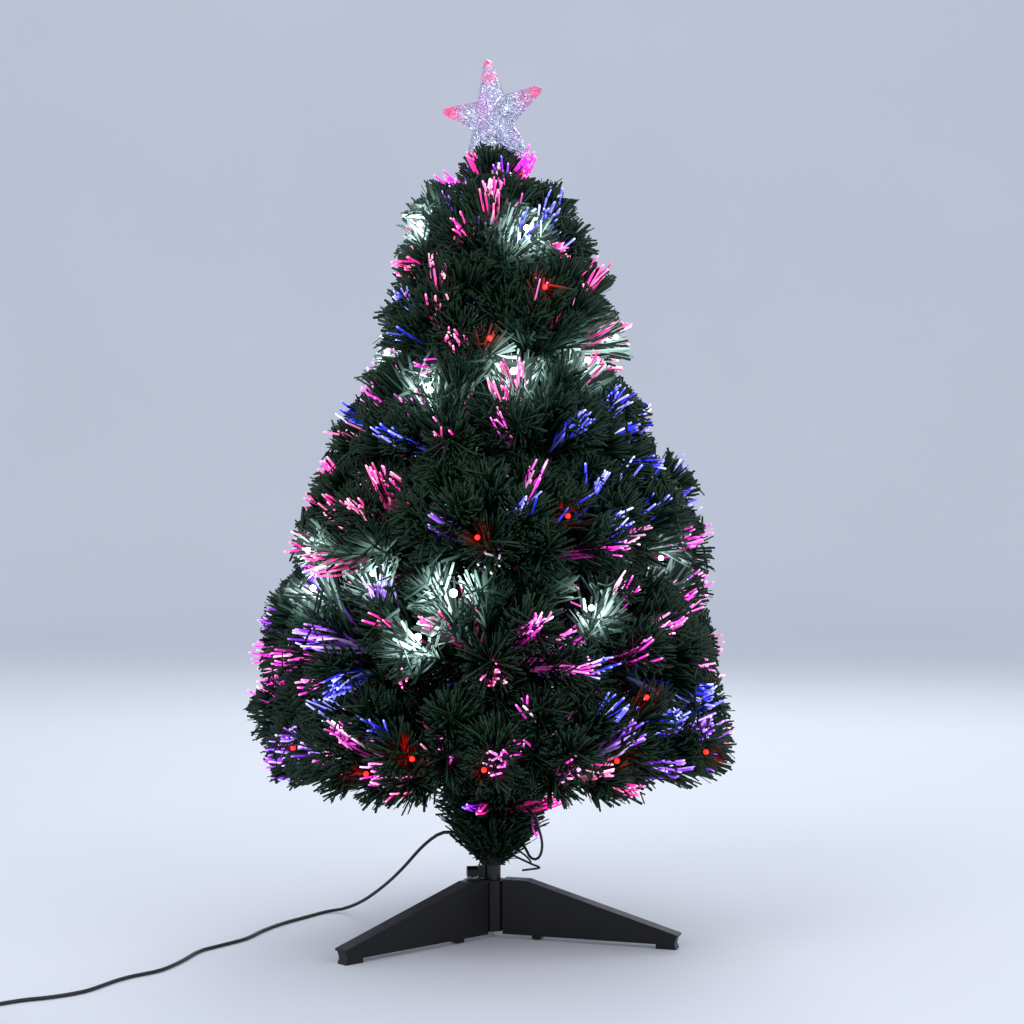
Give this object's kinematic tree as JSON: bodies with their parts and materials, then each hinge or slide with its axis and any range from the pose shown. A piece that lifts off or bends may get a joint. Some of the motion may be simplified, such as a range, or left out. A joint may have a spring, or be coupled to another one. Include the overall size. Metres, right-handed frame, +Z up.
{
  "type": "artificial christmas tree",
  "caption": "Tabletop artificial tree with hinged bristle branches, a bundle of optical fibres in its trunk, a clear star on top and a black three-legged stand with a power lead.",
  "frame": {"origin": "on the floor under the trunk's axis", "axes": "+Z up along the trunk, -Y towards the viewer of the picture"},
  "size_m": [0.7313, 0.6589, 0.8997],
  "materials": {
    "stand": "satin black moulded plastic",
    "housing": "black moulded plastic",
    "board": "green circuit board",
    "metal": "turned metal",
    "fibre": "clear drawn plastic fibre",
    "trunk": "dark green painted steel tube",
    "collar": "dark green moulded plastic",
    "needles": "dark green film cut into needles on twisted wire",
    "star": "clear moulded plastic, lit pink and blue from inside",
    "cord": "black flexible sheath"
  },
  "bodies": {
    "root": {"stand_hub": "stand", "leg_right": "stand", "leg_left": "stand", "leg_rear": "stand", "light_housing": "housing", "light_housing_lid": "housing", "led_board": "board", "trunk_tube": "trunk", "fibre_ferrule": "metal", "fibre_bundle": "fibre", "branch_collar_1": "collar", "branch_collar_2": "collar", "branch_collar_3": "collar", "branch_collar_4": "collar", "branch_collar_5": "collar", "branch_collar_6": "collar", "trunk_skirt": "needles", "leader_tuft": "needles", "cord_relief": "cord", "power_cord": "cord", "power_cord_coil": "cord", "cord_tie": "cord", "adapter_case": "housing", "adapter_pin_1": "metal", "adapter_pin_2": "metal"},
    "clamp_screw": {"clamp_screw": "stand"},
    "star_peg": {"star_peg": "star"},
    "star": {"star_front": "star", "star_back": "star"},
    "branch_1_1": {"branch_1_1": "needles"},
    "branch_1_2": {"branch_1_2": "needles"},
    "branch_1_3": {"branch_1_3": "needles"},
    "branch_1_4": {"branch_1_4": "needles"},
    "branch_1_5": {"branch_1_5": "needles"},
    "branch_1_6": {"branch_1_6": "needles"},
    "branch_2_1": {"branch_2_1": "needles"},
    "branch_2_2": {"branch_2_2": "needles"},
    "branch_2_3": {"branch_2_3": "needles"},
    "branch_2_4": {"branch_2_4": "needles"},
    "branch_2_5": {"branch_2_5": "needles"},
    "branch_2_6": {"branch_2_6": "needles"},
    "branch_3_1": {"branch_3_1": "needles"},
    "branch_3_2": {"branch_3_2": "needles"},
    "branch_3_3": {"branch_3_3": "needles"},
    "branch_3_4": {"branch_3_4": "needles"},
    "branch_3_5": {"branch_3_5": "needles"},
    "branch_4_1": {"branch_4_1": "needles"},
    "branch_4_2": {"branch_4_2": "needles"},
    "branch_4_3": {"branch_4_3": "needles"},
    "branch_4_4": {"branch_4_4": "needles"},
    "branch_4_5": {"branch_4_5": "needles"},
    "branch_5_1": {"branch_5_1": "needles"},
    "branch_5_2": {"branch_5_2": "needles"},
    "branch_5_3": {"branch_5_3": "needles"},
    "branch_5_4": {"branch_5_4": "needles"},
    "branch_6_1": {"branch_6_1": "needles"},
    "branch_6_2": {"branch_6_2": "needles"},
    "branch_6_3": {"branch_6_3": "needles"},
    "branch_6_4": {"branch_6_4": "needles"}
  },
  "joints": [
    {"name": "clamp_screw_turn", "type": "hinge", "parent": "root", "child": "clamp_screw", "pos_m": [-0.01535, -0.00216, 0.067], "axis": [-0.9903, -0.1392, 0], "range_deg": [0, 360]},
    {"name": "star_lift", "type": "slide", "parent": "root", "child": "star_peg", "axis": [0, 0, 1], "range_m": [0, 0.03]},
    {"name": "star_turn", "type": "hinge", "parent": "star_peg", "child": "star", "pos_m": [0, 0, 0.78], "axis": [0, 0, 1], "continuous": true},
    {"name": "branch_1_1_fold", "type": "hinge", "parent": "root", "child": "branch_1_1", "pos_m": [0.016, 0, 0.165], "axis": [0, -1, 0], "range_deg": [0, 34]},
    {"name": "branch_1_2_fold", "type": "hinge", "parent": "root", "child": "branch_1_2", "pos_m": [0.008, 0.01386, 0.165], "axis": [0.866, -0.5, 0], "range_deg": [0, 34]},
    {"name": "branch_1_3_fold", "type": "hinge", "parent": "root", "child": "branch_1_3", "pos_m": [-0.008, 0.01386, 0.165], "axis": [0.866, 0.5, 0], "range_deg": [0, 34]},
    {"name": "branch_1_4_fold", "type": "hinge", "parent": "root", "child": "branch_1_4", "pos_m": [-0.016, 0, 0.165], "axis": [0, 1, 0], "range_deg": [0, 34]},
    {"name": "branch_1_5_fold", "type": "hinge", "parent": "root", "child": "branch_1_5", "pos_m": [-0.008, -0.01386, 0.165], "axis": [-0.866, 0.5, 0], "range_deg": [0, 34]},
    {"name": "branch_1_6_fold", "type": "hinge", "parent": "root", "child": "branch_1_6", "pos_m": [0.008, -0.01386, 0.165], "axis": [-0.866, -0.5, 0], "range_deg": [0, 34]},
    {"name": "branch_2_1_fold", "type": "hinge", "parent": "root", "child": "branch_2_1", "pos_m": [0.01386, 0.008, 0.265], "axis": [0.5, -0.866, 0], "range_deg": [0, 33]},
    {"name": "branch_2_2_fold", "type": "hinge", "parent": "root", "child": "branch_2_2", "pos_m": [0, 0.016, 0.265], "axis": [1, 0, 0], "range_deg": [0, 33]},
    {"name": "branch_2_3_fold", "type": "hinge", "parent": "root", "child": "branch_2_3", "pos_m": [-0.01386, 0.008, 0.265], "axis": [0.5, 0.866, 0], "range_deg": [0, 33]},
    {"name": "branch_2_4_fold", "type": "hinge", "parent": "root", "child": "branch_2_4", "pos_m": [-0.01386, -0.008, 0.265], "axis": [-0.5, 0.866, 0], "range_deg": [0, 33]},
    {"name": "branch_2_5_fold", "type": "hinge", "parent": "root", "child": "branch_2_5", "pos_m": [0, -0.016, 0.265], "axis": [-1, 0, 0], "range_deg": [0, 33]},
    {"name": "branch_2_6_fold", "type": "hinge", "parent": "root", "child": "branch_2_6", "pos_m": [0.01386, -0.008, 0.265], "axis": [-0.5, -0.866, 0], "range_deg": [0, 33]},
    {"name": "branch_3_1_fold", "type": "hinge", "parent": "root", "child": "branch_3_1", "pos_m": [0.00941, 0.01294, 0.365], "axis": [0.809, -0.5878, 0], "range_deg": [0, 32]},
    {"name": "branch_3_2_fold", "type": "hinge", "parent": "root", "child": "branch_3_2", "pos_m": [-0.00941, 0.01294, 0.365], "axis": [0.809, 0.5878, 0], "range_deg": [0, 32]},
    {"name": "branch_3_3_fold", "type": "hinge", "parent": "root", "child": "branch_3_3", "pos_m": [-0.01522, -0.00494, 0.365], "axis": [-0.309, 0.9511, 0], "range_deg": [0, 32]},
    {"name": "branch_3_4_fold", "type": "hinge", "parent": "root", "child": "branch_3_4", "pos_m": [0, -0.016, 0.365], "axis": [-1, 0, 0], "range_deg": [0, 32]},
    {"name": "branch_3_5_fold", "type": "hinge", "parent": "root", "child": "branch_3_5", "pos_m": [0.01522, -0.00494, 0.365], "axis": [-0.309, -0.9511, 0], "range_deg": [0, 32]},
    {"name": "branch_4_1_fold", "type": "hinge", "parent": "root", "child": "branch_4_1", "pos_m": [0.01522, 0.00494, 0.465], "axis": [0.309, -0.9511, 0], "range_deg": [0, 31]},
    {"name": "branch_4_2_fold", "type": "hinge", "parent": "root", "child": "branch_4_2", "pos_m": [0, 0.016, 0.465], "axis": [1, 0, 0], "range_deg": [0, 31]},
    {"name": "branch_4_3_fold", "type": "hinge", "parent": "root", "child": "branch_4_3", "pos_m": [-0.01522, 0.00494, 0.465], "axis": [0.309, 0.9511, 0], "range_deg": [0, 31]},
    {"name": "branch_4_4_fold", "type": "hinge", "parent": "root", "child": "branch_4_4", "pos_m": [-0.00941, -0.01294, 0.465], "axis": [-0.809, 0.5878, 0], "range_deg": [0, 31]},
    {"name": "branch_4_5_fold", "type": "hinge", "parent": "root", "child": "branch_4_5", "pos_m": [0.00941, -0.01294, 0.465], "axis": [-0.809, -0.5878, 0], "range_deg": [0, 31]},
    {"name": "branch_5_1_fold", "type": "hinge", "parent": "root", "child": "branch_5_1", "pos_m": [0.01131, 0.01131, 0.565], "axis": [0.7071, -0.7071, 0], "range_deg": [0, 34]},
    {"name": "branch_5_2_fold", "type": "hinge", "parent": "root", "child": "branch_5_2", "pos_m": [-0.01131, 0.01131, 0.565], "axis": [0.7071, 0.7071, 0], "range_deg": [0, 34]},
    {"name": "branch_5_3_fold", "type": "hinge", "parent": "root", "child": "branch_5_3", "pos_m": [-0.01131, -0.01131, 0.565], "axis": [-0.7071, 0.7071, 0], "range_deg": [0, 34]},
    {"name": "branch_5_4_fold", "type": "hinge", "parent": "root", "child": "branch_5_4", "pos_m": [0.01131, -0.01131, 0.565], "axis": [-0.7071, -0.7071, 0], "range_deg": [0, 34]},
    {"name": "branch_6_1_fold", "type": "hinge", "parent": "root", "child": "branch_6_1", "pos_m": [0.016, 0, 0.665], "axis": [0, -1, 0], "range_deg": [0, 36]},
    {"name": "branch_6_2_fold", "type": "hinge", "parent": "root", "child": "branch_6_2", "pos_m": [0, 0.016, 0.665], "axis": [1, 0, 0], "range_deg": [0, 36]},
    {"name": "branch_6_3_fold", "type": "hinge", "parent": "root", "child": "branch_6_3", "pos_m": [-0.016, 0, 0.665], "axis": [0, 1, 0], "range_deg": [0, 36]},
    {"name": "branch_6_4_fold", "type": "hinge", "parent": "root", "child": "branch_6_4", "pos_m": [0, -0.016, 0.665], "axis": [-1, 0, 0], "range_deg": [0, 36]}
  ],
  "couplings": [
    {"joint": "branch_1_2_fold", "follows": "branch_1_1_fold", "ratio": 1},
    {"joint": "branch_1_3_fold", "follows": "branch_1_1_fold", "ratio": 1},
    {"joint": "branch_1_4_fold", "follows": "branch_1_1_fold", "ratio": 1},
    {"joint": "branch_1_5_fold", "follows": "branch_1_1_fold", "ratio": 1},
    {"joint": "branch_1_6_fold", "follows": "branch_1_1_fold", "ratio": 1},
    {"joint": "branch_2_1_fold", "follows": "branch_1_1_fold", "ratio": 0.97059},
    {"joint": "branch_2_2_fold", "follows": "branch_1_1_fold", "ratio": 0.97059},
    {"joint": "branch_2_3_fold", "follows": "branch_1_1_fold", "ratio": 0.97059},
    {"joint": "branch_2_4_fold", "follows": "branch_1_1_fold", "ratio": 0.97059},
    {"joint": "branch_2_5_fold", "follows": "branch_1_1_fold", "ratio": 0.97059},
    {"joint": "branch_2_6_fold", "follows": "branch_1_1_fold", "ratio": 0.97059},
    {"joint": "branch_3_1_fold", "follows": "branch_1_1_fold", "ratio": 0.94118},
    {"joint": "branch_3_2_fold", "follows": "branch_1_1_fold", "ratio": 0.94118},
    {"joint": "branch_3_3_fold", "follows": "branch_1_1_fold", "ratio": 0.94118},
    {"joint": "branch_3_4_fold", "follows": "branch_1_1_fold", "ratio": 0.94118},
    {"joint": "branch_3_5_fold", "follows": "branch_1_1_fold", "ratio": 0.94118},
    {"joint": "branch_4_1_fold", "follows": "branch_1_1_fold", "ratio": 0.91177},
    {"joint": "branch_4_2_fold", "follows": "branch_1_1_fold", "ratio": 0.91177},
    {"joint": "branch_4_3_fold", "follows": "branch_1_1_fold", "ratio": 0.91177},
    {"joint": "branch_4_4_fold", "follows": "branch_1_1_fold", "ratio": 0.91177},
    {"joint": "branch_4_5_fold", "follows": "branch_1_1_fold", "ratio": 0.91177},
    {"joint": "branch_5_1_fold", "follows": "branch_1_1_fold", "ratio": 1},
    {"joint": "branch_5_2_fold", "follows": "branch_1_1_fold", "ratio": 1},
    {"joint": "branch_5_3_fold", "follows": "branch_1_1_fold", "ratio": 1},
    {"joint": "branch_5_4_fold", "follows": "branch_1_1_fold", "ratio": 1},
    {"joint": "branch_6_1_fold", "follows": "branch_1_1_fold", "ratio": 1.0588},
    {"joint": "branch_6_2_fold", "follows": "branch_1_1_fold", "ratio": 1.0588},
    {"joint": "branch_6_3_fold", "follows": "branch_1_1_fold", "ratio": 1.0588},
    {"joint": "branch_6_4_fold", "follows": "branch_1_1_fold", "ratio": 1.0588}
  ]
}
